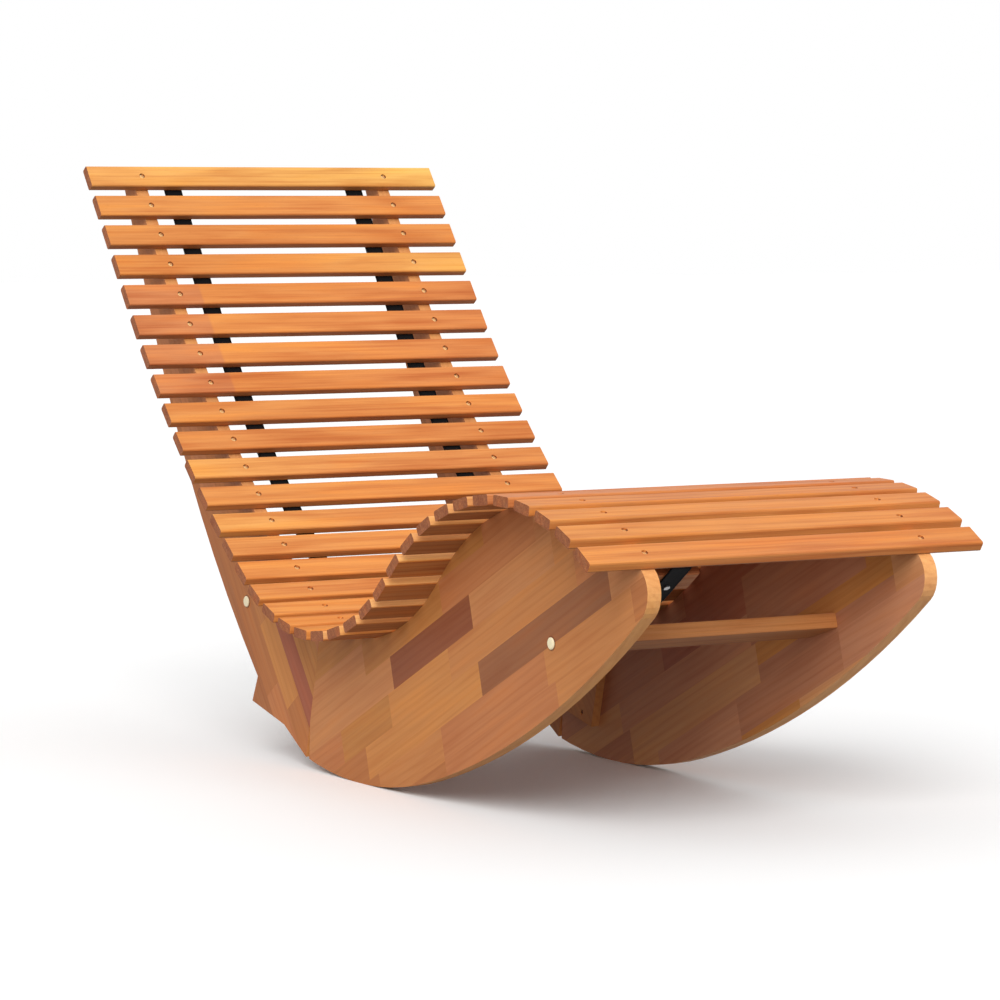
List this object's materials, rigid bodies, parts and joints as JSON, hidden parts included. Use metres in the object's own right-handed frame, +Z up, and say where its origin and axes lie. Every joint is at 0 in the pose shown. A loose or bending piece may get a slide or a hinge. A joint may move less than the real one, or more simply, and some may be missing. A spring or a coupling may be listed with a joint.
{
  "type": "rocking chaise lounge",
  "caption": "Slatted hardwood chaise lounge with a reclined back, seat hollow and knee hump, on two side boards whose curved lower edge rocks on the floor.",
  "frame": {"origin": "on the floor, under the middle of the overall length and width", "axes": "+X to the foot end, +Y to the sitter's left, +Z up"},
  "size_m": [1.49, 0.6, 0.86],
  "materials": {
    "slat_wood": "oiled acacia, satin",
    "board_wood": "oiled acacia, glued up from finger-jointed staves of mixed colour, satin",
    "rail_wood": "oiled acacia, satin",
    "webbing": "black woven webbing, matt",
    "steel": "zinc plated",
    "cap_plastic": "cream, matt"
  },
  "bodies": {
    "root": {"slat_01": "slat_wood", "slat_02": "slat_wood", "slat_03": "slat_wood", "slat_04": "slat_wood", "slat_05": "slat_wood", "slat_06": "slat_wood", "slat_07": "slat_wood", "slat_08": "slat_wood", "slat_09": "slat_wood", "slat_10": "slat_wood", "slat_11": "slat_wood", "slat_12": "slat_wood", "slat_13": "slat_wood", "slat_14": "slat_wood", "slat_15": "slat_wood", "slat_16": "slat_wood", "slat_17": "slat_wood", "slat_18": "slat_wood", "slat_19": "slat_wood", "slat_20": "slat_wood", "slat_21": "slat_wood", "slat_22": "slat_wood", "slat_23": "slat_wood", "slat_24": "slat_wood", "slat_25": "slat_wood", "slat_26": "slat_wood", "slat_27": "slat_wood", "slat_28": "slat_wood", "slat_29": "slat_wood", "slat_30": "slat_wood", "slat_31": "slat_wood", "slat_32": "slat_wood", "slat_33": "slat_wood", "slat_34": "slat_wood", "slat_35": "slat_wood", "rear_side_board_left": "board_wood", "front_side_board_left": "board_wood", "splice_cleat_left": "rail_wood", "webbing_strap_left": "webbing", "rear_side_board_right": "board_wood", "front_side_board_right": "board_wood", "splice_cleat_right": "rail_wood", "webbing_strap_right": "webbing", "front_stretcher": "rail_wood", "bolt_front_left": "steel", "barrel_nut_front_left": "steel", "bolt_cap_front_left": "cap_plastic", "bolt_front_right": "steel", "barrel_nut_front_right": "steel", "bolt_cap_front_right": "cap_plastic", "rear_stretcher": "rail_wood", "bolt_rear_left": "steel", "barrel_nut_rear_left": "steel", "bolt_cap_rear_left": "cap_plastic", "bolt_rear_right": "steel", "barrel_nut_rear_right": "steel", "bolt_cap_rear_right": "cap_plastic", "strap_block": "rail_wood", "strap_screw": "steel"}
  },
  "joints": []
}
